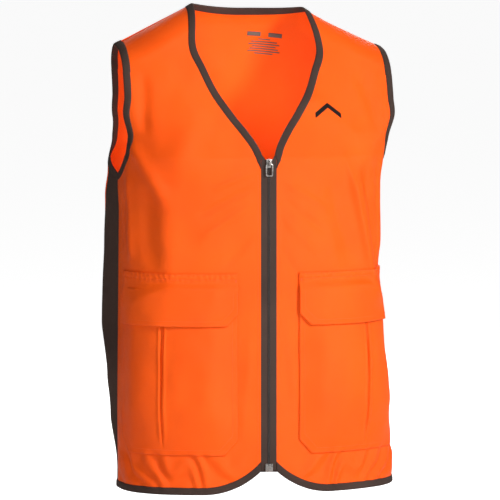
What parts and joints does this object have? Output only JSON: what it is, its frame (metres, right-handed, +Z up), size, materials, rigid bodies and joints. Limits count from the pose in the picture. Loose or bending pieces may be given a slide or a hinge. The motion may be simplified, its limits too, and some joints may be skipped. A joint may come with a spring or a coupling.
{
  "type": "field vest",
  "caption": "Sleeveless V-necked zip-front field vest in blaze orange with dark bindings, side panels and flapped cargo pockets.",
  "frame": {"origin": "midway between the two high shoulder points, where a hanger or the wearer's shoulders carry the vest", "axes": "+Z up the body, -Y towards the front of the vest, -X towards the wearer's right"},
  "size_m": [0.4242, 0.2689, 0.7334],
  "materials": {
    "orange_cloth": "matte woven",
    "brown_binding": "matte ribbed",
    "stretch_side": "matte knitted",
    "zip_tape": "matte woven",
    "zip_nylon": "satin",
    "hook_and_loop": "matte brushed",
    "black_thread": "satin stitched",
    "grey_print": "matte printed",
    "gunmetal": "satin"
  },
  "bodies": {
    "root": {"back_panel": "orange_cloth", "neck_binding_back": "brown_binding", "hem_binding_back": "brown_binding", "neck_label": "grey_print", "side_panel_right": "stretch_side", "side_panel_left": "stretch_side", "front_shoulder_right": "orange_cloth", "front_shoulder_left": "orange_cloth", "neck_binding_shoulder_right": "brown_binding", "neck_binding_shoulder_left": "brown_binding", "armhole_binding_right": "brown_binding", "armhole_binding_left": "brown_binding"},
    "front_right": {"front_panel_right": "orange_cloth", "neck_binding_front_right": "brown_binding", "armhole_binding_front_right": "brown_binding", "hem_binding_front_right": "brown_binding", "zip_tape_right": "zip_tape", "zip_coil_right": "zip_nylon", "zip_top_stop_right": "gunmetal", "pocket_pouch_right": "orange_cloth", "pocket_band_right": "orange_cloth", "pocket_loop_strip_right": "hook_and_loop", "zip_retainer_box": "gunmetal"},
    "front_left": {"front_panel_left": "orange_cloth", "neck_binding_front_left": "brown_binding", "armhole_binding_front_left": "brown_binding", "hem_binding_front_left": "brown_binding", "zip_tape_left": "zip_tape", "zip_coil_left": "zip_nylon", "zip_top_stop_left": "gunmetal", "pocket_pouch_left": "orange_cloth", "pocket_band_left": "orange_cloth", "pocket_loop_strip_left": "hook_and_loop", "zip_insertion_pin": "zip_nylon", "chest_emblem": "black_thread"},
    "slider": {"zip_slider": "gunmetal"},
    "pull": {"zip_pull": "gunmetal"},
    "flap_right": {"pocket_flap_right": "orange_cloth", "pocket_hook_strip_right": "hook_and_loop"},
    "flap_left": {"pocket_flap_left": "orange_cloth", "pocket_hook_strip_left": "hook_and_loop"}
  },
  "joints": [
    {"name": "front_right_swing", "type": "hinge", "parent": "root", "child": "front_right", "pos_m": [-0.213, 0, -0.415], "axis": [0, 0, -1], "range_deg": [0, 50]},
    {"name": "front_left_swing", "type": "hinge", "parent": "root", "child": "front_left", "pos_m": [0.213, 0, -0.415], "axis": [0, 0, 1], "range_deg": [0, 50]},
    {"name": "zip_slide", "type": "slide", "parent": "front_right", "child": "slider", "axis": [0, 0, -1], "range_m": [0, 0.444]},
    {"name": "pull_swing", "type": "hinge", "parent": "slider", "child": "pull", "pos_m": [0, -0.1391, -0.23475], "axis": [-1, 0, 0], "range_deg": [0, 120]},
    {"name": "flap_right_lift", "type": "hinge", "parent": "front_right", "child": "flap_right", "pos_m": [-0.13369, -0.09647, -0.4], "axis": [-0.843, 0.538, 0], "range_deg": [0, 40]},
    {"name": "flap_left_lift", "type": "hinge", "parent": "front_left", "child": "flap_left", "pos_m": [0.13369, -0.09647, -0.4], "axis": [-0.843, -0.538, 0], "range_deg": [0, 40]}
  ],
  "couplings": [
    {"joint": "front_left_swing", "follows": "front_right_swing", "ratio": 1},
    {"joint": "zip_slide", "follows": "front_right_swing", "m_per_rad": 0.5087}
  ]
}
